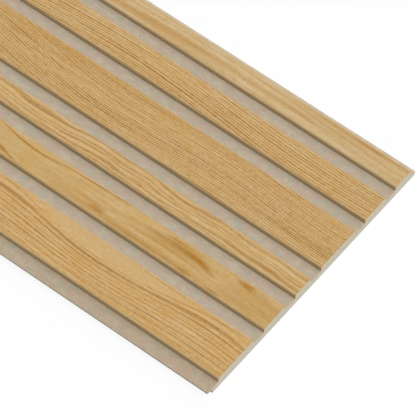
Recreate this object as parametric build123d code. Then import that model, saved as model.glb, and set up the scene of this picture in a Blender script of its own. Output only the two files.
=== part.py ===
# Acoustic slat panel: one extruded profile of foamed polymer, six slats on a common base.
# Frame: X along the length, Y across the width towards the tongue, Z up from the flat back.
# The origin is the middle of the back, under the centre of the bounding box.
import os

from build123d import *

# Driving dimensions, mm
LENGTH = 2700.0                     # stock length
COVER_WIDTH = 240.0                 # pitch from one mounted panel to the next
SLAT_WIDTHS = (18.5, 25.0, 41.0)    # narrow, medium and wide slat of one repeat, from the tongue side
GROOVE_WIDTH = 11.7                 # between two slats; the floor on the lip takes what is left of the pitch
REPEATS = 2                         # repeats across one panel
THICKNESS = 11.0                    # flat back to the slat tops
FLOOR_HEIGHT = 6.5                  # flat back to the groove floors
TONGUE_REACH = 5.2                  # tongue beyond the outermost slat
TONGUE_HEIGHT = 5.0                 # flat back to the top of the tongue
REBATE_DEPTH = 5.5                  # rebate under the lip, which takes the next panel's tongue
REBATE_HEIGHT = 5.2                 # flat back to the underside of the lip

# Edge rounding, mm
SLAT_ARRIS_RADIUS = 1.3             # the film is wrapped over these long edges
GROOVE_ROOT_RADIUS = 0.5            # inner corner between a groove floor and a slat side
LAP_EDGE_RADIUS = 0.4               # free corners of the tongue, the lip and the back
TOLERANCE = 1e-6

# Sizes that follow from them
OVERALL_WIDTH = COVER_WIDTH + TONGUE_REACH
TONGUE_EDGE_Y = OVERALL_WIDTH / 2
FIRST_SLAT_Y = TONGUE_EDGE_Y - TONGUE_REACH
LIP_EDGE_Y = -OVERALL_WIDTH / 2
BODY_EDGE_Y = LIP_EDGE_Y + REBATE_DEPTH


def slat_spans():
    """Return the (inner, outer) Y limits of every slat, from the tongue side to the lip."""
    spans = []
    outer = FIRST_SLAT_Y
    for width in SLAT_WIDTHS * REPEATS:
        spans.append((outer - width, outer))
        outer -= width + GROOVE_WIDTH
    return spans


def block(y_low, y_high, z_low, z_high):
    """Return a rectangle of the section, with section X along the panel's Y and section Y up."""
    rectangle = Rectangle(y_high - y_low, z_high - z_low, align=(Align.MIN, Align.MIN))
    return Pos(y_low, z_low) * rectangle


def raw_section():
    """Return the section with sharp corners: base, tongue, slats, less the rebate under the lip."""
    section = block(LIP_EDGE_Y, FIRST_SLAT_Y, 0, FLOOR_HEIGHT)
    section += block(FIRST_SLAT_Y, TONGUE_EDGE_Y, 0, TONGUE_HEIGHT)
    for inner, outer in slat_spans():
        section += block(inner, outer, FLOOR_HEIGHT, THICKNESS)
    section -= block(LIP_EDGE_Y, BODY_EDGE_Y, 0, REBATE_HEIGHT)
    return section


def corners(section, y_values, z):
    """Return the section's corners at height z whose Y is one of y_values."""
    return [
        vertex
        for vertex in section.vertices()
        if abs(vertex.Y - z) < TOLERANCE and any(abs(vertex.X - y) < TOLERANCE for y in y_values)
    ]


def eased_section():
    """Return the section with the slat arrises, groove roots and lap corners rounded."""
    slat_sides = [y for span in slat_spans() for y in span]
    root_sides = [y for y in slat_sides if abs(y - FIRST_SLAT_Y) > TOLERANCE]
    section = raw_section()
    section = fillet(corners(section, slat_sides, THICKNESS), SLAT_ARRIS_RADIUS)
    section = fillet(corners(section, root_sides, FLOOR_HEIGHT), GROOVE_ROOT_RADIUS)
    lap_corners = (
        corners(section, [TONGUE_EDGE_Y], TONGUE_HEIGHT)
        + corners(section, [TONGUE_EDGE_Y, BODY_EDGE_Y], 0)
        + corners(section, [LIP_EDGE_Y], REBATE_HEIGHT)
        + corners(section, [LIP_EDGE_Y], FLOOR_HEIGHT)
    )
    return fillet(lap_corners, LAP_EDGE_RADIUS)


def slat_panel():
    """Return the panel: the section carried along X, centred on the origin."""
    across = Plane(origin=(-LENGTH / 2, 0, 0), x_dir=(0, 1, 0), z_dir=(1, 0, 0))
    return extrude(across * eased_section(), LENGTH)


panel = slat_panel()
panel.label = "slat_panel"
os.makedirs("parts", exist_ok=True)
export_step(panel, "parts/slat_panel.step")
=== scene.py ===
"""Looks of the acoustic slat panel: one foamed profile with printed films on the face.

An oak-look film wraps each of the six slats, and a felt-look film lies on the floors between them. Lengths
are in metres unless a name ends in _mm. The panel lies flat on its back, X along its length and Y across it
towards the tongue. Each film is a thin closed strip that follows the profile, and the core fills the rest.
"""

import logging
import math
from dataclasses import dataclass
from enum import Enum

import bpy
import numpy as np
from bpy.types import ColorRamp, Material, Node, NodeSocket, NodeTree, Object
from mathutils import Matrix, Vector

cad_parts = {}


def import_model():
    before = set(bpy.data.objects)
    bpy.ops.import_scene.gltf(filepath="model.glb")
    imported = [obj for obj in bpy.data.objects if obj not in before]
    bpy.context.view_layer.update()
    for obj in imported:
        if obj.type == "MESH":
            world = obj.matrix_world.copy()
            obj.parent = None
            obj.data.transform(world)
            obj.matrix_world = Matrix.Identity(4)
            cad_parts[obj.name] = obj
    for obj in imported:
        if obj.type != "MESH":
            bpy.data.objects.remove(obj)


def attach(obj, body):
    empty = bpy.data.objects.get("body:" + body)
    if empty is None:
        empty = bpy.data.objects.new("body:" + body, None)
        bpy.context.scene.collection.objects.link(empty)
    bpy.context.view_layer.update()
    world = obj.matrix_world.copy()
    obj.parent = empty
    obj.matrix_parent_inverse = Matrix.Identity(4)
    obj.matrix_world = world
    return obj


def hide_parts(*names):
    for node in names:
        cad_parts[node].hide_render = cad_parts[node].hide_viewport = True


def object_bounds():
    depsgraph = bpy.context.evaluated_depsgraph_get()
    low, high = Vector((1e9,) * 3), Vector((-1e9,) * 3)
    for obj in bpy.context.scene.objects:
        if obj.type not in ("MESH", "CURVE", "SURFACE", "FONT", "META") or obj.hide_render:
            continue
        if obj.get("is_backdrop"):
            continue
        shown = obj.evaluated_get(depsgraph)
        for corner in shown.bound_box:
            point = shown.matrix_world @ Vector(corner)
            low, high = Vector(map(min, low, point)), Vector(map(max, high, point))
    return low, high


LOG = logging.getLogger("slat_panel")
MM = 0.001
BODY = "root"
CAD_NODE = "slat_panel"
FILM_UV = "film_mm"
BAKE_UV = "OFBake"
LINEAR_BELOW = 0.04045
WHITE = (1.0, 1.0, 1.0, 1.0)
SEED_STEP = (3.1, 1.7, 1.0)
SHARP_ANGLE = math.radians(40)
SAME = 1e-6


def linear_colour(hex_code: str) -> tuple[float, float, float, float]:
    """Turns an sRGB hex colour into linear light.

    Each channel c in 0..1 becomes c / 12.92 at the dark end, and ((c + 0.055) / 1.055) to the power 2.4
    above it.

    Args:
        hex_code: six hex digits, as in "c8a46e".

    Returns:
        Linear red, green, blue and an alpha of 1.
    """
    srgb = np.array([int(hex_code[i : i + 2], 16) for i in (0, 2, 4)]) / 255.0
    linear = np.where(srgb <= LINEAR_BELOW, srgb / 12.92, ((srgb + 0.055) / 1.055) ** 2.4)
    return (*(float(c) for c in linear), 1.0)


def add_node(
    tree: NodeTree,
    kind: str,
    inputs: dict[int | str, object] | None = None,
    **settings: object,
) -> Node:
    """Adds one shader node, sets its properties and fills its inputs.

    Args:
        tree: the node tree that gets the node.
        kind: the node's type name, less its "ShaderNode".
        inputs: input name or index to a value, a socket, or a node whose first enabled output is meant.
        settings: properties of the node, set before its inputs.

    Returns:
        The new node.
    """
    node = tree.nodes.new("ShaderNode" + kind)
    for name, value in settings.items():
        setattr(node, name, value)
    for key, value in (inputs or {}).items():
        if isinstance(value, Node):
            value = next(socket for socket in value.outputs if socket.enabled)
        if isinstance(value, NodeSocket):
            tree.links.new(value, node.inputs[key])
        else:
            node.inputs[key].default_value = value
    return node


def overprinted(tree: NodeTree, ground: str, inks: list[tuple[object, str]]) -> Node:
    """Prints inks over a ground, one after the other: each covers what lies under it by its own share.

    Args:
        tree: the node tree.
        ground: the ground's colour in hex.
        inks: for each ink, the share that it covers and its colour in hex.

    Returns:
        The node that gives the printed colour.
    """
    colour = linear_colour(ground)
    for share, ink in inks:
        layer = {"Factor": share, "A": colour, "B": linear_colour(ink)}
        colour = add_node(tree, "Mix", layer, data_type="RGBA")
    return colour


def new_material(name: str) -> Material:
    """Makes an empty node material.

    Args:
        name: its name.

    Returns:
        The material.
    """
    made = bpy.data.materials.new(name)
    made.use_nodes = True
    made.node_tree.nodes.clear()
    return made


def panel_place(tree: NodeTree) -> Node:
    """Reads Object coordinates and turns them into millimetres."""
    metres = add_node(tree, "TexCoord").outputs["Object"]
    return add_node(tree, "Mapping", {"Vector": metres, "Scale": (1 / MM,) * 3})


def end_material(
    tree: NodeTree,
    finish: dict[int | str, object],
    height: Node,
    relief: float,
    relief_mm: float,
) -> None:
    """Ends a material with its surface and a fine relief on it.

    Args:
        tree: the node tree.
        finish: the surface's colour, roughness and the like, by input name.
        height: the relief's height, where 1 is relief_mm.
        relief: how strongly the relief shows, 0..1.
        relief_mm: the height that 1 stands for.
    """
    raised = {"Strength": relief, "Distance": relief_mm * MM, "Height": height}
    bump = add_node(tree, "Bump", raised)
    shader = add_node(tree, "BsdfPrincipled", {**finish, "Normal": bump})
    add_node(tree, "OutputMaterial", {"Surface": shader})


@dataclass(frozen=True)
class Streaks:
    """Smooth noise drawn out along the panel, turned into a share between 0 and `most`.

    The noise is read at (along / along_mm, across / across_mm). Values under `low` give a share of 0, and
    values over `high` give `most`.
    """

    along_mm: float
    across_mm: float
    most: float
    low: float = 0.38
    high: float = 0.64
    detail: float = 2.0
    grit: float = 0.5

    def noise(self, tree: NodeTree, place: object, seed: float) -> Node:
        """Reads the noise.

        Args:
            tree: the node tree.
            place: a position in millimetres, along first and across second.
            seed: moves the pattern, so that no two films match.

        Returns:
            The node that gives the noise, around 0.5.
        """
        move = tuple(seed * step for step in SEED_STEP)
        scale = (1 / self.along_mm, 1 / self.across_mm, 1 / self.across_mm)
        stretched = add_node(tree, "Mapping", {"Vector": place, "Location": move, "Scale": scale})
        read = {"Vector": stretched, "Scale": 1.0, "Detail": self.detail, "Roughness": self.grit}
        return add_node(tree, "TexNoise", read)

    def share(self, tree: NodeTree, place: object, seed: float) -> Node:
        """Reads the noise as a share.

        Args:
            tree: the node tree.
            place: a position in millimetres.
            seed: moves the pattern.

        Returns:
            The node that gives the share, 0..most.
        """
        noise = self.noise(tree, place, seed)
        rise = {"Value": noise, "From Min": self.low, "From Max": self.high, "To Max": self.most}
        return add_node(tree, "MapRange", rise, interpolation_type="SMOOTHSTEP")


@dataclass(frozen=True)
class Fleck:
    """A bowed or slanting patch of darker figure, as beside a small knot, fading out to its edge.

    With u = (x - along) / half_length and v = (y - across - slant * (x - along) - bow * u^2) / half_width,
    the patch is where u^2 + v^2 is under 1, and it shows in full where that is under `full_within`.
    """

    along_mm: float
    across_mm: float
    half_length_mm: float
    half_width_mm: float
    strength: float
    bow_mm: float = 0.0
    slant: float = 0.0
    full_within: float = 0.1

    def share(self, tree: NodeTree, along: object, across: object) -> Node:
        """Reads how strongly the patch shows.

        Args:
            tree: the node tree.
            along: millimetres along the film.
            across: millimetres across the film.

        Returns:
            The node that gives the share, 0..strength.
        """
        length, width = self.half_length_mm, self.half_width_mm
        from_middle = {0: along, 1: 1 / length, 2: -self.along_mm / length}
        u = add_node(tree, "Math", from_middle, operation="MULTIPLY_ADD")
        u_squared = add_node(tree, "Math", {0: u, 1: u}, operation="MULTIPLY")
        level = add_node(tree, "Math", {0: u, 1: -self.slant * length, 2: across}, operation="MULTIPLY_ADD")
        level = add_node(tree, "Math", {0: u_squared, 1: -self.bow_mm, 2: level}, operation="MULTIPLY_ADD")
        from_line = {0: level, 1: 1 / width, 2: -self.across_mm / width}
        v = add_node(tree, "Math", from_line, operation="MULTIPLY_ADD")
        reach = add_node(tree, "Math", {0: v, 1: v, 2: u_squared}, operation="MULTIPLY_ADD")
        fade = {"Value": reach, "From Min": 1.0, "From Max": self.full_within, "To Max": self.strength}
        return add_node(tree, "MapRange", fade)


@dataclass(frozen=True)
class WearShadeAndHighlight:
    """A colour from nothing at `from_mm` to `most` at `full_mm`.

    It serves for the real colour of sawn ends, for painted shade and for painted highlights.
    """

    from_mm: float
    full_mm: float
    most: float
    colour: str

    def ink(self, tree: NodeTree, distance: object) -> tuple[Node, str]:
        """Reads how strongly the colour shows.

        Args:
            tree: the node tree.
            distance: millimetres from an edge, or up from the panel's back.

        Returns:
            The node that gives the share, 0..most, and the colour in hex.
        """
        growth = {"Value": distance, "From Min": self.from_mm, "From Max": self.full_mm, "To Max": self.most}
        return add_node(tree, "MapRange", growth), self.colour


@dataclass(frozen=True)
class Rings:
    """Growth rings of the printed board, cut lengthwise at a slowly changing depth under the pith.

    The depth is depth + swing * sin(2 pi (along - crest) / swing_length). The ring radius is the length of
    (across - pith + wander, depth). Rings start beyond `heart` and follow each other by `spacing`, moved by
    up to `uneven` spacings. Each is as dark as chance gives, from `faintest` to 1.
    """

    spacing_mm: float
    pith_mm: float
    swing_mm: float
    swing_length_mm: float
    crest_mm: float
    wander: Streaks
    depth_mm: float = 0.0
    heart_mm: float = 0.0
    uneven: float = 1.6
    uneven_scale: float = 0.41
    faintest: float = 0.6
    # Places inside one ring, and how dark the ring is there
    line: tuple[tuple[float, float], ...] = (
        (0.0, 0.1),
        (0.18, 1.0),
        (0.36, 0.8),
        (0.62, 0.05),
        (0.9, 0.0),
        (1.0, 0.1),
    )

    def radius(self, tree: NodeTree, place: object, seed: float) -> Node:
        """Reads the ring radius by the formula above.

        Args:
            tree: the node tree.
            place: a position in millimetres, along first and across second.
            seed: moves the wander.

        Returns:
            The node that gives the radius in millimetres.
        """
        axes = add_node(tree, "SeparateXYZ", {"Vector": place})
        turn = 2 * math.pi / self.swing_length_mm
        from_crest = {0: axes.outputs["X"], 1: turn, 2: -self.crest_mm * turn}
        angle = add_node(tree, "Math", from_crest, operation="MULTIPLY_ADD")
        wave = add_node(tree, "Math", {0: angle}, operation="SINE")
        swung = {0: wave, 1: self.swing_mm, 2: self.depth_mm}
        depth = add_node(tree, "Math", swung, operation="MULTIPLY_ADD")
        most = self.wander.most
        wandered = {0: self.wander.noise(tree, place, seed), 1: 2 * most, 2: -most - self.pith_mm}
        shift = add_node(tree, "Math", wandered, operation="MULTIPLY_ADD")
        from_pith = add_node(tree, "Math", {0: axes.outputs["Y"], 1: shift}, operation="ADD")
        offset = add_node(tree, "CombineXYZ", {"X": from_pith, "Y": depth})
        return add_node(tree, "VectorMath", {0: offset}, operation="LENGTH")

    def lens(self, tree: NodeTree, radius: Node) -> Node:
        """Reads the plain lens inside the first ring.

        Args:
            tree: the node tree.
            radius: the ring radius in millimetres.

        Returns:
            The node that gives the share, 1 in the lens and 0 from the first ring on.
        """
        edge = {"Value": radius, "From Min": self.heart_mm, "From Max": self.heart_mm - self.spacing_mm}
        return add_node(tree, "MapRange", edge, interpolation_type="SMOOTHSTEP")

    def lines(self, tree: NodeTree, radius: Node, seed: float) -> Node:
        """Reads the dark line of the rings.

        Args:
            tree: the node tree.
            radius: the ring radius in millimetres.
            seed: moves the pattern.

        Returns:
            The node that gives how strongly the early wood shows, 0..1.
        """
        from_heart = {0: radius, 1: 1 / self.spacing_mm, 2: -self.heart_mm / self.spacing_mm}
        ring = add_node(tree, "Math", from_heart, operation="MULTIPLY_ADD")
        ring = add_node(tree, "Math", {0: ring, 1: 0.0}, operation="MAXIMUM")
        moved = add_node(tree, "Math", {0: ring, 1: seed}, operation="ADD")
        waver = {"W": moved, "Scale": self.uneven_scale, "Detail": 1.0}
        uneven = add_node(tree, "TexNoise", waver, noise_dimensions="1D")
        ring = add_node(tree, "Math", {0: uneven, 1: self.uneven, 2: ring}, operation="MULTIPLY_ADD")
        which = add_node(tree, "Math", {0: ring}, operation="FLOOR")
        chance = add_node(tree, "TexWhiteNoise", {"W": which}, noise_dimensions="1D")
        drawn = {0: chance, 1: 1 - self.faintest, 2: self.faintest}
        weight = add_node(tree, "Math", drawn, operation="MULTIPLY_ADD")
        inside = add_node(tree, "Math", {0: ring}, operation="FRACT")
        line = add_node(tree, "ValToRGB", {"Fac": inside})
        self.shape(line.color_ramp)
        return add_node(tree, "Math", {0: line, 1: weight}, operation="MULTIPLY")

    def shape(self, ramp: ColorRamp) -> None:
        """Shapes one ring: a quick rise to the dark early wood, then a slow fade to the next ring.

        Args:
            ramp: the ramp that is read at the place inside one ring.
        """
        ramp.interpolation = "EASE"
        for position, _ in self.line[1:-1]:
            ramp.elements.new(position)
        for element, (_, value) in zip(ramp.elements, self.line, strict=True):
            element.color = (value, value, value, 1.0)


@dataclass(frozen=True)
class OakFilm:
    """Oak-look decor film: printed, lacquered satin and wrapped hot round one slat.

    It gives the eye fine parallel lines where the rings stand steep, wide arcs where they lie flat, short
    pale rays across the grain, short dark pores along each ring, slow drifts of tone, a paler arris that is
    a painted highlight, a duller and darker colour on the sides that is painted shade, darker still at their
    feet, and a brown sawn edge at the ends. Knots and flecks come again after `repeat_mm`, one turn of the
    cylinder that prints the film.
    """

    name: str
    seed: float
    rings: Rings
    line_strength: float
    drift: Streaks
    flecks: tuple[Fleck, ...] = ()
    lens_share: float = 0.0
    # Wood fibres are about 0.02 mm thick and pores 0.2 mm wide, drawn coarser here, so that they show.
    fibre: Streaks = Streaks(24.0, 0.9, 0.75, 0.34, 0.68, 3.0, 0.6)
    pores: Streaks = Streaks(5.0, 0.6, 1.0, 0.52, 0.68, 1.0)
    rays: Streaks = Streaks(1.5, 3.5, 0.28, 0.48, 0.7, 1.0)
    presence: Streaks = Streaks(120.0, 4.0, 0.45, 0.36, 0.62)
    mottle: Streaks = Streaks(15.0, 3.6, 0.34, 0.45, 0.62, 1.0)
    base: str = "d4ab68"
    light: str = "e2c89b"
    golden: str = "d5a251"
    plain: str = "d0ad75"
    warm: str = "c08e44"
    dark: str = "9a6a17"
    pore: str = "85591c"
    # Painted shade: the sides, which face away from the lamps, are printed duller and darker than the top.
    side: WearShadeAndHighlight = WearShadeAndHighlight(0.3, 1.0, 0.85, "bea982")
    # Painted shade, darker still towards the foot of each side, where it meets the floor.
    foot: WearShadeAndHighlight = WearShadeAndHighlight(1.2, 3.9, 0.4, "8b7757")
    # Painted highlight: a paler colour along each arris.
    arris: WearShadeAndHighlight = WearShadeAndHighlight(1.6, 0.2, 0.35, "d2b98e")
    sawn: WearShadeAndHighlight = WearShadeAndHighlight(0.7, 0.233, 0.3, "a98a5c")
    repeat_mm: float = 675.0
    fleck_gain: float = 2.6
    fleck_loss: float = 0.4
    stray_pores: float = 0.2
    line_pores: float = 0.55
    pore_depth: float = 1.5
    relief: float = 0.3
    relief_mm: float = 0.05
    roughness: float = 0.42
    roughness_spread: float = 0.12
    ior: float = 1.49

    def material(self, half_top_mm: float, half_length_mm: float) -> Material:
        """Builds the film's material.

        Args:
            half_top_mm: from the middle of the slat's top to the middle of its arris, over the film.
            half_length_mm: from the middle of the panel to its sawn end.

        Returns:
            A material that reads the film's own UV map, in millimetres along and across the film.
        """
        made = new_material(self.name)
        tree = made.node_tree
        place = add_node(tree, "UVMap", uv_map=FILM_UV)
        axes = add_node(tree, "SeparateXYZ", {"Vector": place})
        along, across = axes.outputs["X"], axes.outputs["Y"]

        # Each pattern adds its own number to the film's seed, so that no two of them match.
        fibre = self.fibre.noise(tree, place, self.seed + 2)
        radius = self.rings.radius(tree, place, self.seed)
        lens = self.rings.lens(tree, radius)
        lens = add_node(tree, "Math", {0: lens, 1: self.lens_share}, operation="MULTIPLY")
        inks = [
            (self.fibre.share(tree, place, self.seed + 2), self.light),
            (self.mottle.share(tree, place, self.seed + 3), self.golden),
            (self.drift.share(tree, place, self.seed + 5), self.warm),
            (lens, self.plain),
        ]
        gain = {0: fibre, 1: self.fleck_gain, 2: -self.fleck_loss}
        streaky = add_node(tree, "Math", gain, operation="MULTIPLY_ADD")
        last_turn = {0: along, 1: half_length_mm, 2: half_length_mm - self.repeat_mm}
        turned = add_node(tree, "Math", last_turn, operation="WRAP")
        for fleck in self.flecks:
            share = fleck.share(tree, turned, across)
            share = add_node(tree, "Math", {0: share, 1: streaky}, operation="MULTIPLY", use_clamp=True)
            inks.append((share, self.warm))
        gone = self.presence.share(tree, place, self.seed + 7)
        left = {0: gone, 1: -self.line_strength, 2: self.line_strength}
        strength = add_node(tree, "Math", left, operation="MULTIPLY_ADD")
        line = self.rings.lines(tree, radius, self.seed)
        line = add_node(tree, "Math", {0: line, 1: strength}, operation="MULTIPLY", use_clamp=True)
        inks.append((line, self.dark))
        inks.append((self.rays.share(tree, place, self.seed + 8), self.light))
        chance = {0: line, 1: self.line_pores, 2: self.stray_pores}
        pore_chance = add_node(tree, "Math", chance, operation="MULTIPLY_ADD")
        chance = {0: lens, 1: -self.stray_pores, 2: pore_chance}
        pore_chance = add_node(tree, "Math", chance, operation="MULTIPLY_ADD")
        pores = self.pores.share(tree, place, self.seed + 9)
        pores = add_node(tree, "Math", {0: pores, 1: pore_chance}, operation="MULTIPLY")
        inks.append((pores, self.pore))
        # Painted shade on the sides and at their feet, a painted highlight on the arrises, and the real sawn
        # ends.
        inks += self.painted_light_and_sawn_edges(tree, along, across, half_top_mm, half_length_mm)
        colour = overprinted(tree, self.base, inks)

        height = add_node(tree, "Math", {0: pores, 1: -self.pore_depth, 2: fibre}, operation="MULTIPLY_ADD")
        spread = self.roughness_spread
        uneven = {0: fibre, 1: spread, 2: self.roughness - spread / 2}
        gloss = add_node(tree, "Math", uneven, operation="MULTIPLY_ADD")
        finish = {"Base Color": colour, "Roughness": gloss, "IOR": self.ior}
        end_material(tree, finish, height, self.relief, self.relief_mm)
        return made

    def painted_light_and_sawn_edges(
        self,
        tree: NodeTree,
        along: object,
        across: object,
        half_top_mm: float,
        half_length_mm: float,
    ) -> list[tuple[object, str]]:
        """Gives painted shade on the sides, darker painted shade at their feet, a painted highlight on the
        arrises, and the brown sawn ends.

        Args:
            tree: the node tree.
            along: millimetres along the film.
            across: millimetres across the film, from the middle of the top.
            half_top_mm: from there to the middle of the arris.
            half_length_mm: from the middle of the panel to its sawn end.

        Returns:
            The share and the colour of each, from the lowest up.
        """
        from_middle = add_node(tree, "Math", {0: across}, operation="ABSOLUTE")
        off_top = add_node(tree, "Math", {0: from_middle, 1: half_top_mm}, operation="SUBTRACT")
        off_arris = add_node(tree, "Math", {0: off_top}, operation="ABSOLUTE")
        from_half = add_node(tree, "Math", {0: along}, operation="ABSOLUTE")
        from_end = add_node(tree, "Math", {0: half_length_mm, 1: from_half}, operation="SUBTRACT")
        return [
            self.side.ink(tree, off_top),
            self.foot.ink(tree, off_top),
            self.arris.ink(tree, off_arris),
            self.sawn.ink(tree, from_end),
        ]


@dataclass(frozen=True)
class FeltFilm:
    """Felt-look decor film, matt and softly embossed, on the groove floors.

    It gives the eye a warm grey ground with a fine cloudy mottle, faintly drawn out along the panel, and a
    darker edge where it turns down over the lip, which is painted shade on a face turned away from the
    lamps.
    """

    name: str = "felt_film"
    seed: float = 3.0
    ground: str = "bfb099"
    pale: str = "c9bca6"
    cool: str = "b3b19f"
    blush: str = "c6ab9a"
    deep: str = "a99a82"
    # Painted shade: darker below the height where the film turns down from the floor.
    edge: WearShadeAndHighlight = WearShadeAndHighlight(6.4, 6.0, 0.8, "857962")
    cloud: Streaks = Streaks(9.0, 6.0, 0.8, 0.36, 0.64, 2.0)
    tint: Streaks = Streaks(6.0, 4.0, 0.75, 0.48, 0.64, 1.0)
    # Felt fibres are about 0.03 mm thick, too fine to show, so they are drawn as tufts.
    tuft: Streaks = Streaks(1.7, 1.3, 0.3, 0.4, 0.66, 3.0, 0.65)
    relief: float = 0.5
    relief_mm: float = 0.15
    roughness: float = 0.85
    specular: float = 0.25

    def material(self) -> Material:
        """Builds the film's material.

        Returns:
            A material that reads Object coordinates, turned into millimetres.
        """
        made = new_material(self.name)
        tree = made.node_tree
        place = panel_place(tree)
        level = add_node(tree, "SeparateXYZ", {"Vector": place}).outputs["Z"]
        # Each pattern adds its own number to the film's seed, so that no two of them match.
        inks = [
            (self.cloud.share(tree, place, self.seed), self.pale),
            (self.tint.share(tree, place, self.seed + 4), self.cool),
            (self.tint.share(tree, place, self.seed + 6), self.blush),
            (self.tuft.share(tree, place, self.seed + 8), self.deep),
            # Painted shade on the turned-down edge.
            self.edge.ink(tree, level),
        ]
        height = self.tuft.noise(tree, place, self.seed + 8)
        finish = {
            "Base Color": overprinted(tree, self.ground, inks),
            "Roughness": self.roughness,
            "Specular IOR Level": self.specular,
        }
        end_material(tree, finish, height, self.relief, self.relief_mm)
        return made


@dataclass(frozen=True)
class FoamedCore:
    """Foamed polystyrene, extruded and sawn across.

    It gives the eye a cream, matt body with fine closed cells, faint drawing lines along the back, and
    painted shade that makes it greyer and darker towards its foot.
    """

    name: str = "foamed_core"
    ground: str = "e8dcc5"
    shade: str = "e0d3bb"
    cell: str = "d0c6b2"
    # Painted shade: greyer and darker from 4.5 mm high down to 1 mm, on the sawn ends and the sides.
    painted_low_shade: WearShadeAndHighlight = WearShadeAndHighlight(4.5, 1.0, 0.85, "d7d5ca")
    # The closed cells are about 0.2 mm wide. They are drawn three times as coarse, so that they show.
    cell_mm: float = 0.6
    cell_most: float = 0.3
    cell_fade: float = 0.5
    drawn: Streaks = Streaks(90.0, 1.6, 1.0, 0.35, 0.7, 2.0)
    cloud: Streaks = Streaks(5.0, 3.0, 0.8, 0.36, 0.66, 3.0)
    drawn_seed: float = 2.0
    cloud_seed: float = 1.0
    relief: float = 0.35
    relief_mm: float = 0.1
    roughness: float = 0.7
    specular: float = 0.3

    def material(self) -> Material:
        """Builds the core's material.

        Returns:
            A material that reads Object coordinates, turned into millimetres.
        """
        made = new_material(self.name)
        tree = made.node_tree
        place = panel_place(tree)
        level = add_node(tree, "SeparateXYZ", {"Vector": place}).outputs["Z"]
        cells = add_node(tree, "TexVoronoi", {"Vector": place, "Scale": 1 / self.cell_mm})
        middles = {0: cells, 1: -self.cell_fade, 2: self.cell_most}
        cell_share = add_node(tree, "Math", middles, operation="MULTIPLY_ADD", use_clamp=True)
        inks = [
            (self.cloud.share(tree, place, self.cloud_seed), self.shade),
            # Painted shade low down.
            self.painted_low_shade.ink(tree, level),
            (cell_share, self.cell),
        ]
        lines = self.drawn.noise(tree, place, self.drawn_seed)
        height = add_node(tree, "Math", {0: cells, 1: lines}, operation="ADD")
        finish = {
            "Base Color": overprinted(tree, self.ground, inks),
            "Roughness": self.roughness,
            "Specular IOR Level": self.specular,
        }
        end_material(tree, finish, height, self.relief, self.relief_mm)
        return made


class Bend(Enum):
    """Which side of an arc the material is on; the value turns the arc's rays into outward normals."""

    ROUND = 1.0
    HOLLOW = -1.0


@dataclass(frozen=True)
class Path:
    """A line in the panel's section: points and their outward normals, as rows of Y and Z in millimetres."""

    points: np.ndarray
    normals: np.ndarray

    @staticmethod
    def arc(
        centre: tuple[float, float], radius: float, start: float, end: float, bend: Bend, steps: int
    ) -> "Path":
        """Makes a round stretch: centre + radius * (cos a, sin a), with a going evenly from start to end.

        Args:
            centre: Y and Z of the arc's centre.
            radius: its radius.
            start: angle of its first point, in degrees.
            end: angle of its last point, in degrees.
            bend: ROUND over an outer edge, HOLLOW in a groove's root.
            steps: how many edges it has.

        Returns:
            The arc.
        """
        angle = np.radians(np.linspace(start, end, steps + 1))
        ray = np.stack([np.cos(angle), np.sin(angle)], 1)
        return Path(np.array(centre) + radius * ray, bend.value * ray)

    @staticmethod
    def corner(y: float, z: float, normal: tuple[float, float]) -> "Path":
        """Makes a single point with the given outward normal."""
        return Path(np.array([[y, z]]), np.array([normal], float))

    @staticmethod
    def joined(parts: list["Path"]) -> "Path":
        """Joins paths end to end, less any point that repeats the one before it with the same normal.

        Args:
            parts: the paths, in order.

        Returns:
            The whole line.
        """
        both = np.concatenate([np.hstack([part.points, part.normals]) for part in parts])
        fresh = np.abs(np.diff(both, axis=0)).max(1) > SAME
        both = both[np.concatenate([[True], fresh])]
        return Path(both[:, :2], both[:, 2:])

    def inset(self, depth_mm: float) -> np.ndarray:
        """Returns the points moved into the material by depth_mm along their normals."""
        return self.points - depth_mm * self.normals

    def reach(self) -> np.ndarray:
        """Measures the line.

        Returns:
            The length along it at each point, from the middle of its highest stretch.
        """
        steps = np.linalg.norm(np.diff(self.points, axis=0), axis=1)
        length = np.concatenate([[0.0], np.cumsum(steps)])
        highest = self.points[:, 1] > self.points[:, 1].max() - SAME
        return length - (length[highest].min() + length[highest].max()) / 2


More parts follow.
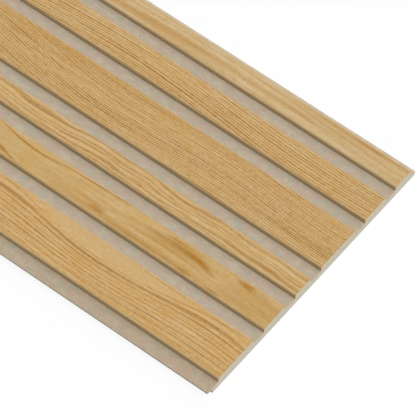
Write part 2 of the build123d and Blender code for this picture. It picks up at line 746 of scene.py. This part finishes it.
@dataclass
class PanelSection:
    """The panel's section: its driving sizes in millimetres, and the lines that follow from them."""

    slat_widths_mm: tuple[float, ...] = (18.5, 25.0, 41.0)
    groove_mm: float = 11.7
    repeats: int = 2
    cover_mm: float = 240.0
    thickness_mm: float = 11.0
    floor_mm: float = 6.5
    tongue_reach_mm: float = 5.2
    tongue_height_mm: float = 5.0
    rebate_depth_mm: float = 5.5
    rebate_height_mm: float = 5.2
    arris_mm: float = 1.3
    root_mm: float = 0.5
    lap_edge_mm: float = 0.4
    film_mm: float = 0.2
    arc_steps: int = 6

    def __post_init__(self) -> None:
        """Works out the places that the sizes give."""
        self.tongue_edge_mm = (self.cover_mm + self.tongue_reach_mm) / 2
        self.first_slat_mm = self.tongue_edge_mm - self.tongue_reach_mm
        self.lip_edge_mm = -self.tongue_edge_mm
        self.body_edge_mm = self.lip_edge_mm + self.rebate_depth_mm

    def spans(self) -> list[tuple[float, float]]:
        """Sets the slats side by side, from the tongue to the lip.

        Returns:
            The lower and upper Y of each.
        """
        widths = np.array(self.slat_widths_mm * self.repeats)
        outer = self.first_slat_mm - np.concatenate([[0.0], np.cumsum(widths + self.groove_mm)[:-1]])
        return list(zip(outer - widths, outer, strict=True))

    def slat_line(self, index: int) -> Path:
        """Makes the line over one slat, from the foot of its tongue side to the foot of its lip side.

        Args:
            index: which slat, 0 at the tongue.

        Returns:
            Root, side, arris, top, arris, side and root. The first slat has no root on the tongue side.
        """
        low, high = self.spans()[index]
        root, arris, steps = self.root_mm, self.arris_mm, self.arc_steps
        foot = self.floor_mm + root
        shoulder = self.thickness_mm - arris
        if index == 0:
            start = Path.corner(high, self.tongue_height_mm, (1, 0))
        else:
            start = Path.arc((high + root, foot), root, 270, 180, Bend.HOLLOW, steps)
        return Path.joined(
            [
                start,
                Path.arc((high - arris, shoulder), arris, 0, 90, Bend.ROUND, steps),
                Path.arc((low + arris, shoulder), arris, 90, 180, Bend.ROUND, steps),
                Path.arc((low - root, foot), root, 0, -90, Bend.HOLLOW, steps),
            ]
        )

    def half_top(self, index: int) -> float:
        """Returns the length over the film from the middle of a slat's top to the middle of its arris."""
        low, high = self.spans()[index]
        return (high - low) / 2 - self.arris_mm * (1 - math.pi / 4)

    def tongue_line(self) -> Path:
        """Makes the line over the tongue.

        Returns:
            The tongue's edge, its rounded corner and its top.
        """
        edge = self.lap_edge_mm
        corner = (self.tongue_edge_mm - edge, self.tongue_height_mm - edge)
        return Path.joined(
            [
                Path.corner(self.tongue_edge_mm, edge, (1, 0)),
                Path.arc(corner, edge, 0, 90, Bend.ROUND, self.arc_steps),
                Path.corner(self.first_slat_mm, self.tongue_height_mm, (0, 1)),
            ]
        )

    def floor_line(self, index: int) -> Path:
        """Makes the line over the floor on the lip side of one slat.

        Args:
            index: which slat, 0 at the tongue.

        Returns:
            The floor between two roots, or over the lip and down its edge for the last slat.
        """
        spans, edge = self.spans(), self.lap_edge_mm
        start = Path.corner(spans[index][0] - self.root_mm, self.floor_mm, (0, 1))
        if index + 1 < len(spans):
            end = Path.corner(spans[index + 1][1] + self.root_mm, self.floor_mm, (0, 1))
            return Path.joined([start, end])
        corner = (self.lip_edge_mm + edge, self.floor_mm - edge)
        return Path.joined(
            [
                start,
                Path.arc(corner, edge, 90, 180, Bend.ROUND, self.arc_steps),
                Path.corner(self.lip_edge_mm, self.rebate_height_mm + edge, (-1, 0)),
            ]
        )

    def under_line(self) -> Path:
        """Makes the bare line under the panel.

        Returns:
            The lip's corner and underside, the rebate's wall, the back and the tongue's lower corner.
        """
        edge, steps = self.lap_edge_mm, self.arc_steps
        lip = (self.lip_edge_mm + edge, self.rebate_height_mm + edge)
        return Path.joined(
            [
                Path.arc(lip, edge, 180, 270, Bend.ROUND, steps),
                Path.corner(self.body_edge_mm, self.rebate_height_mm, (0, -1)),
                Path.arc((self.body_edge_mm + edge, edge), edge, 180, 270, Bend.ROUND, steps),
                Path.arc((self.tongue_edge_mm - edge, edge), edge, 270, 360, Bend.ROUND, steps),
            ]
        )


@dataclass
class Ring:
    """A closed ring of section points, with what each point needs for the maps.

    `across_mm` is the place across the print, and `show` is how much map width the edge that starts at each
    point gets for one millimetre: 1 where it is seen, and little where it is hidden against another piece.
    """

    points_mm: np.ndarray
    across_mm: np.ndarray
    show: np.ndarray

    def __post_init__(self) -> None:
        """Turns a clockwise ring round, told by the sign of its area, so that every side faces outwards."""
        after = np.roll(self.points_mm, -1, axis=0)
        area = np.sum(self.points_mm[:, 0] * after[:, 1] - after[:, 0] * self.points_mm[:, 1])
        if area < 0:
            self.points_mm = self.points_mm[::-1]
            self.across_mm = self.across_mm[::-1]
            self.show = np.roll(self.show[::-1], -1)

    @staticmethod
    def film(line: Path, thickness_mm: float, hidden_show: float) -> "Ring":
        """Makes a film's ring: the line, and back along the line moved in by the film's thickness.

        Args:
            line: the film's outer line.
            thickness_mm: the film's thickness.
            hidden_show: map width of the inner side.

        Returns:
            The ring.
        """
        count, reach = len(line.points), line.reach()
        points = np.concatenate([line.points, line.inset(thickness_mm)[::-1]])
        show = np.concatenate([np.ones(count), np.full(count - 1, hidden_show), [1.0]])
        return Ring(points, np.concatenate([reach, reach[::-1]]), show)

    def map_reach(self) -> np.ndarray:
        """Returns the map place of each point round the ring, and of the first point again at the end."""
        edges = np.linalg.norm(np.roll(self.points_mm, -1, axis=0) - self.points_mm, axis=1)
        return np.concatenate([[0.0], np.cumsum(edges * self.show)])


@dataclass
class LongPiece:
    """One piece made of closed rings carried straight along X, with flat ends.

    A surface point is (x, ring Y, ring Z). The bake map cuts the length into rows and stacks them, since
    the piece is far longer than it is wide. The end faces lie beside each other in the lowest row.
    """

    name: str
    rings: list[Ring]
    length_mm: float
    stations_a_row: int = 4
    gap: float = 0.004

    def __post_init__(self) -> None:
        """Works out the stations and the rows, with rows * (rows + 1) nearest to length / height."""
        self.reaches = [ring.map_reach() for ring in self.rings]
        height_mm = sum(reach[-1] for reach in self.reaches)
        self.rows = max(1, round((math.sqrt(1 + 4 * self.length_mm / height_mm) - 1) / 2))
        self.row_height = 1.0 / (self.rows + 1) - self.gap
        self.map_scale = self.row_height / height_mm
        half = self.length_mm / 2
        self.x_mm = np.linspace(-half, half, self.rows * self.stations_a_row + 1)

    def build(self, material: Material) -> Object:
        """Builds the piece's mesh and maps, and dresses it.

        Args:
            material: its finish.

        Returns:
            The new object, linked to the scene.
        """
        points, faces, print_map = [], [], []
        for ring in self.rings:
            faces += self.faces(ring, sum(len(part) for part in points))
            points.append(self.grid(ring))
            print_map.append(self.print_map(ring))
        mesh = bpy.data.meshes.new(self.name)
        mesh.from_pydata((np.concatenate(points) * MM).tolist(), [], faces)
        for name, parts in ((FILM_UV, print_map), (BAKE_UV, self.bake_map())):
            layer = mesh.uv_layers.new(name=name)
            layer.data.foreach_set("uv", np.concatenate(parts).ravel())
        mesh.shade_smooth()
        mesh.set_sharp_from_angle(angle=SHARP_ANGLE)
        mesh.materials.append(material)
        made = bpy.data.objects.new(self.name, mesh)
        bpy.context.scene.collection.objects.link(made)
        return made

    def grid(self, ring: Ring) -> np.ndarray:
        """Carries the ring along X.

        Args:
            ring: the ring.

        Returns:
            The points, station by station, in millimetres.
        """
        grid = np.empty((len(self.x_mm), len(ring.points_mm), 3))
        grid[:, :, 0] = self.x_mm[:, None]
        grid[:, :, 1:] = ring.points_mm[None, :, :]
        return grid.reshape(-1, 3)

    def faces(self, ring: Ring, start: int) -> list[list[int]]:
        """Joins neighbouring stations by four-sided faces and closes each end by one face.

        Args:
            ring: the ring.
            start: number of the ring's first vertex.

        Returns:
            The faces as vertex numbers.
        """
        stations, count = len(self.x_mm), len(ring.points_mm)
        vertex = start + np.arange(stations * count).reshape(stations, count)
        after = np.roll(vertex, -1, axis=1)
        sides = np.stack([vertex[:-1], after[:-1], after[1:], vertex[1:]], -1).reshape(-1, 4)
        return sides.tolist() + [vertex[0][::-1].tolist(), vertex[-1].tolist()]

    def side_map(
        self, low_u: np.ndarray, high_u: np.ndarray, low_v: np.ndarray, high_v: np.ndarray
    ) -> np.ndarray:
        """Lays every side face out as a rectangle.

        Args:
            low_u: first edge of the faces of each stretch between stations.
            high_u: last edge of them.
            low_v: lower edge of the faces of each stretch, for each point of the ring.
            high_v: upper edge of them.

        Returns:
            The map, corner by corner.
        """
        uv = np.empty((*low_v.shape, 4, 2))
        uv[:, :, (0, 1), 0] = low_u[:, None, None]
        uv[:, :, (2, 3), 0] = high_u[:, None, None]
        uv[:, :, (0, 3), 1] = low_v[:, :, None]
        uv[:, :, (1, 2), 1] = high_v[:, :, None]
        return uv.reshape(-1, 2)

    def print_map(self, ring: Ring) -> np.ndarray:
        """Lays the print on the sides and ends, as millimetres along and across.

        Args:
            ring: the ring.

        Returns:
            The map, corner by corner.
        """
        x, across = self.x_mm, ring.across_mm
        stretches = (len(x) - 1, len(across))
        low_v = np.broadcast_to(across, stretches)
        high_v = np.broadcast_to(np.roll(across, -1), stretches)
        first = np.stack([np.full(len(across), x[0]), across], 1)[::-1]
        last = np.stack([np.full(len(across), x[-1]), across], 1)
        return np.concatenate([self.side_map(x[:-1], x[1:], low_v, high_v), first, last])

    def bake_map(self) -> list[np.ndarray]:
        """Lays out the bake map: the sides in rows, ring over ring in each, and the ends in the lowest row.

        Returns:
            Each ring's map, corner by corner.
        """
        stretch = np.arange(len(self.x_mm) - 1)
        row, inside = stretch // self.stations_a_row, stretch % self.stations_a_row
        step = (1 - 2 * self.gap) / self.stations_a_row
        low_u = self.gap + inside * step
        foot = (row + 1) / (self.rows + 1)
        boxes = [(ring.points_mm.min(0), np.ptp(ring.points_mm, axis=0)) for ring in self.rings]
        wide_mm = 2 * sum(size[0] for _, size in boxes)
        tall_mm = max(size[1] for _, size in boxes)
        end_scale = min((1 - self.gap * (2 * len(boxes) + 1)) / wide_mm, self.row_height / tall_mm)
        maps, end_u = [], self.gap
        for ring, reach, (corner, size) in zip(self.rings, self.reaches, boxes, strict=True):
            place = foot[:, None] + reach[None, :] * self.map_scale
            sides = self.side_map(low_u, low_u + step, place[:, :-1], place[:, 1:])
            end = (ring.points_mm - corner) * end_scale
            next_u = end_u + size[0] * end_scale + self.gap
            maps.append(np.concatenate([sides, end[::-1] + (end_u, 0.0), end + (next_u, 0.0)]))
            end_u = next_u + size[0] * end_scale + self.gap
            foot = foot + reach[-1] * self.map_scale
        return maps


@dataclass
class SlatPanel:
    """The whole panel: the core, an oak-look film round each slat, and felt-look films beside the slats."""

    section: PanelSection
    length_mm: float
    oak: tuple[OakFilm, ...]
    core: FoamedCore = FoamedCore()
    felt: FeltFilm = FeltFilm()
    lip: FeltFilm = FeltFilm(
        name="lip_film",
        seed=33.0,
        ground="baa98f",
        pale="c4b59c",
        cool="aeaa95",
        blush="c1a490",
        deep="a49378",
        # Painted shade, nearly black, where the lip's film turns down over its edge.
        edge=WearShadeAndHighlight(6.5, 6.1, 0.8, "4b453b"),
    )
    tongue: FeltFilm = FeltFilm(
        name="tongue_film",
        seed=21.0,
        ground="cfc0a4",
        pale="dacdb4",
        cool="c4b9a2",
        blush="d4bba2",
        deep="b5a384",
        # Painted shade where the tongue's film turns down over its edge.
        edge=WearShadeAndHighlight(4.9, 4.5, 0.8, "857962"),
    )
    hidden_show: float = 0.04

    def build(self) -> list[Object]:
        """Builds and dresses every piece.

        Returns:
            The core, the felt-look films, and the oak-look films from the tongue to the lip.
        """
        section = self.section
        pieces = [self.core_piece()]
        floors = [section.floor_line(index) for index in range(len(self.oak))]
        strips = ((self.tongue, [section.tongue_line()]), (self.felt, floors[:-1]), (self.lip, floors[-1:]))
        for film, lines in strips:
            pieces.append(self.film_piece(film.name, lines, film.material()))
        for index, film in enumerate(self.oak):
            finish = film.material(section.half_top(index), self.length_mm / 2)
            pieces.append(self.film_piece(f"oak_film_{index + 1}", [section.slat_line(index)], finish))
        return pieces

    def core_piece(self) -> Object:
        """Makes the core: the section less the films' thickness, closed along the bare underside.

        Returns:
            The piece.
        """
        section = self.section
        lines = [section.tongue_line()]
        for index in range(len(self.oak)):
            lines += [section.slat_line(index), section.floor_line(index)]
        upper = Path.joined(lines).inset(section.film_mm)
        under = section.under_line().points
        points = np.concatenate([upper, under])
        show = np.concatenate([np.full(len(upper), self.hidden_show), np.ones(len(under))])
        ring = Ring(points, np.zeros(len(points)), show)
        return LongPiece("foam_core", [ring], self.length_mm).build(self.core.material())

    def film_piece(self, name: str, lines: list[Path], material: Material) -> Object:
        """Makes one film piece out of one strip or several.

        Args:
            name: the piece's name.
            lines: the outer line of each strip.
            material: its finish.

        Returns:
            The piece.
        """
        rings = [Ring.film(line, self.section.film_mm, self.hidden_show) for line in lines]
        return LongPiece(name, rings, self.length_mm).build(material)


@dataclass(frozen=True)
class PhotoCamera:
    """The camera at the photograph's angle, near the panel's end at +X, looking down on it."""

    place: tuple[float, float, float] = (2.33048, -1.35859, 2.58358)
    right: tuple[float, float, float] = (0.78402, 0.62074, -0.00052)
    up: tuple[float, float, float] = (-0.51455, 0.65038, 0.55879)
    lens_mm: float = 369.935
    sensor_mm: float = 36.0
    sees_to: float = 400.0

    def build(self) -> None:
        """Makes the camera and sets it as the scene's."""
        right, up = Vector(self.right).normalized(), Vector(self.up).normalized()
        back = right.cross(up)
        data = bpy.data.cameras.new("photo_camera")
        data.lens, data.sensor_width = self.lens_mm, self.sensor_mm
        data.clip_end = self.sees_to
        made = bpy.data.objects.new("photo_camera", data)
        turn = Matrix((right, up, back)).transposed()
        made.matrix_world = Matrix.Translation(Vector(self.place)) @ turn.to_4x4()
        bpy.context.scene.collection.objects.link(made)
        bpy.context.scene.camera = made


@dataclass(frozen=True)
class Lamp:
    """A wide lamp, so far away that its light falls evenly over the whole panel."""

    name: str
    strength: float
    comes_from: tuple[float, float, float]
    width_deg: float

    def build(self) -> None:
        """Makes the lamp."""
        data = bpy.data.lights.new(self.name, "SUN")
        data.energy, data.angle = self.strength, math.radians(self.width_deg)
        made = bpy.data.objects.new(self.name, data)
        made.rotation_mode = "QUATERNION"
        made.rotation_quaternion = Vector(self.comes_from).to_track_quat("Z", "Y")
        bpy.context.scene.collection.objects.link(made)


@dataclass(frozen=True)
class Studio:
    """A white floor, even light from all round, a soft lamp high over the sawn end and a weak one behind.

    The floor is paper of one grey for the light and of another for the camera, lifted by a glow that only
    the camera sees, so that it comes out near white and keeps a faint shadow.
    """

    floor_side: float = 400.0
    floor_grey: float = 0.5
    floor_drop: float = 0.05 * MM
    seen_grey: float = 0.95
    seen_glow: float = 0.9
    sky: float = 0.34
    lamps: tuple[Lamp, ...] = (
        Lamp("key_lamp", 1.78, (0.5, 0.0, 0.87), 35.0),
        Lamp("back_lamp", 0.7, (0.2, 0.75, 0.62), 40.0),
    )

    def build(self) -> None:
        """Makes the floor, the world and the lamps."""
        self.floor()
        self.world()
        for lamp in self.lamps:
            lamp.build()

    def floor(self) -> None:
        """Makes the white floor just under the panel, as scenery."""
        half = self.floor_side / 2
        corners = [(-half, -half), (half, -half), (half, half), (-half, half)]
        mesh = bpy.data.meshes.new("studio_floor")
        mesh.from_pydata([(x, y, -self.floor_drop) for x, y in corners], [], [(0, 1, 2, 3)])
        made = bpy.data.objects.new("studio_floor", mesh)
        bpy.context.scene.collection.objects.link(made)
        material = new_material("white_floor")
        tree = material.node_tree
        to_camera = add_node(tree, "LightPath").outputs["Is Camera Ray"]
        more = self.seen_grey - self.floor_grey
        grey = add_node(tree, "Math", {0: to_camera, 1: more, 2: self.floor_grey}, operation="MULTIPLY_ADD")
        paper = add_node(tree, "BsdfDiffuse", {"Color": grey})
        glow = add_node(tree, "Emission", {"Color": WHITE, "Strength": 1.0})
        seen = add_node(tree, "Math", {0: to_camera, 1: self.seen_glow}, operation="MULTIPLY")
        mixed = add_node(tree, "MixShader", {0: seen, 1: paper, 2: glow})
        add_node(tree, "OutputMaterial", {"Surface": mixed})
        mesh.materials.append(material)
        made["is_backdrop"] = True

    def world(self) -> None:
        """Makes the even light from all round, white where the camera sees it."""
        world = bpy.data.worlds.new("studio")
        world.use_nodes = True
        tree = world.node_tree
        tree.nodes.clear()
        to_camera = add_node(tree, "LightPath").outputs["Is Camera Ray"]
        seen = {0: to_camera, 1: 1.0 - self.sky, 2: self.sky}
        strength = add_node(tree, "Math", seen, operation="MULTIPLY_ADD")
        glow = add_node(tree, "Background", {"Color": WHITE, "Strength": strength})
        add_node(tree, "OutputWorld", {"Surface": glow})
        bpy.context.scene.world = world


def slat_films() -> tuple[OakFilm, ...]:
    """Chooses the print on each slat: six cuts of board, each with its own figure.

    A fleck's values are its place along and across, half its length and width, its strength, bow and slant.
    A ring pattern's are its spacing, pith, swing, the swing's length and its crest, and how it wanders.

    Returns:
        The films from the tongue to the lip.
    """
    calm = Streaks(240.0, 40.0, 3.0)
    lively = Streaks(60.0, 22.0, 5.5)
    faint_rays = Streaks(1.5, 3.5, 0.14, 0.48, 0.7, 1.0)
    return (
        OakFilm(
            name="oak_film_narrow_soft",
            seed=11.0,
            rings=Rings(6.5, 40.0, 22.0, 700.0, 1180.0, calm, uneven=2.0),
            line_strength=0.25,
            drift=Streaks(130.0, 4.0, 0.4),
            flecks=(
                Fleck(1130.0, 1.9, 72.0, 4.0, 0.5, 0.0, -0.05),
                Fleck(1318.0, -6.7, 16.0, 1.6, 0.9),
                Fleck(1296.0, -7.4, 66.0, 2.2, 0.6),
                Fleck(1300.0, -3.3, 60.0, 1.0, 0.4),
            ),
            rays=faint_rays,
            base="d4b480",
            light="dec89f",
            golden="d2aa68",
        ),
        OakFilm(
            name="oak_film_medium_dense",
            seed=23.0,
            rings=Rings(2.15, 100.0, 44.0, 720.0, 1122.0, calm, uneven=1.0, faintest=0.75),
            line_strength=1.08,
            drift=Streaks(160.0, 8.0, 0.2),
        ),
        OakFilm(
            name="oak_film_wide_fine",
            seed=37.0,
            rings=Rings(1.7, -120.0, 46.0, 480.0, 880.0, calm, depth_mm=16.0, uneven=1.0, faintest=0.5),
            line_strength=1.15,
            drift=Streaks(190.0, 9.0, 0.25),
            flecks=(
                Fleck(1125.0, -17.0, 150.0, 6.0, 0.5),
                Fleck(1300.0, -14.0, 90.0, 4.0, 0.3),
            ),
        ),
        OakFilm(
            name="oak_film_narrow_wavy",
            seed=41.0,
            rings=Rings(3.4, 70.0, 18.0, 520.0, 1240.0, lively, uneven=1.2, faintest=0.8),
            line_strength=0.8,
            drift=Streaks(120.0, 7.0, 0.25),
            rays=faint_rays,
            base="d4ad6e",
        ),
        OakFilm(
            name="oak_film_medium_plain",
            seed=53.0,
            rings=Rings(7.0, -27.5, 27.0, 560.0, 1120.0, lively, heart_mm=17.0, uneven=2.0),
            line_strength=0.15,
            drift=Streaks(110.0, 7.0, 0.25),
            flecks=(
                Fleck(1264.0, -3.6, 36.0, 8.0, 0.3, 2.0),
                Fleck(1230.0, 9.0, 110.0, 4.0, 0.3),
                Fleck(1263.0, -5.0, 29.0, 4.2, 0.5, 2.0),
                Fleck(1259.0, -8.7, 24.0, 0.8, 0.8, 1.5),
                Fleck(1265.0, -4.4, 21.0, 1.6, 0.75, 1.0),
                Fleck(1274.0, -4.0, 14.0, 3.0, 0.5, 1.0),
                Fleck(1282.0, -2.6, 16.0, 2.8, 0.65, 0.0, 0.24),
                Fleck(1280.0, -3.4, 9.0, 1.3, 0.6, 0.0, 0.2),
                Fleck(1238.0, -4.4, 13.0, 1.6, 0.4, 0.0, -0.05),
                Fleck(1118.0, -6.5, 42.0, 1.1, 1.0, -6.0, 0.052),
                Fleck(1180.0, -10.2, 46.0, 0.9, 0.9, 0.0, -0.045),
                Fleck(1101.0, 7.4, 20.0, 1.5, 1.0, 0.0, 0.22),
                Fleck(1191.0, 6.4, 9.0, 2.8, 0.8),
                Fleck(1186.0, 3.6, 16.0, 1.5, 0.4),
                Fleck(1319.0, -9.6, 9.0, 0.9, 1.0),
                Fleck(1318.0, -7.8, 10.0, 1.6, 0.9, 0.0, 0.08),
                Fleck(1274.0, 9.6, 8.0, 2.4, 0.8),
                Fleck(1301.0, 10.6, 9.0, 1.2, 0.8),
                Fleck(1330.0, 1.0, 34.0, 13.0, 0.35),
                Fleck(1240.0, 9.5, 50.0, 1.4, 0.5),
                Fleck(1255.0, 1.5, 50.0, 1.2, 0.4, 3.0),
            ),
            rays=faint_rays,
            base="ceaa67",
            light="dcc093",
            warm="b07a1c",
        ),
        OakFilm(
            name="oak_film_wide_arched",
            seed=79.0,
            rings=Rings(2.5, -25.5, 18.2, 400.0, 1222.0, calm, heart_mm=18.5, uneven=1.3, faintest=0.35),
            line_strength=0.84,
            drift=Streaks(170.0, 10.0, 0.2),
            flecks=(
                Fleck(1275.0, -18.0, 42.0, 0.8, 0.8, -1.5),
                Fleck(1326.0, -17.4, 30.0, 1.0, 0.8, 0.0, -0.03),
            ),
            lens_share=0.9,
            base="d2a35a",
        ),
    )


def main() -> None:
    """Builds the camera, the studio and the panel, and reports each piece."""
    logging.basicConfig(level=logging.INFO, format="%(name)s: %(message)s")
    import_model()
    cad_low, cad_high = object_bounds()
    bpy.context.scene.view_settings.view_transform = "Standard"
    PhotoCamera().build()
    Studio().build()
    panel = SlatPanel(PanelSection(), (cad_high.x - cad_low.x) / MM, slat_films())
    for piece in panel.build():
        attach(piece, BODY)
        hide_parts(CAD_NODE)
        LOG.info("%s: %d faces", piece.name, len(piece.data.polygons))


if __name__ == "__main__":
    main()
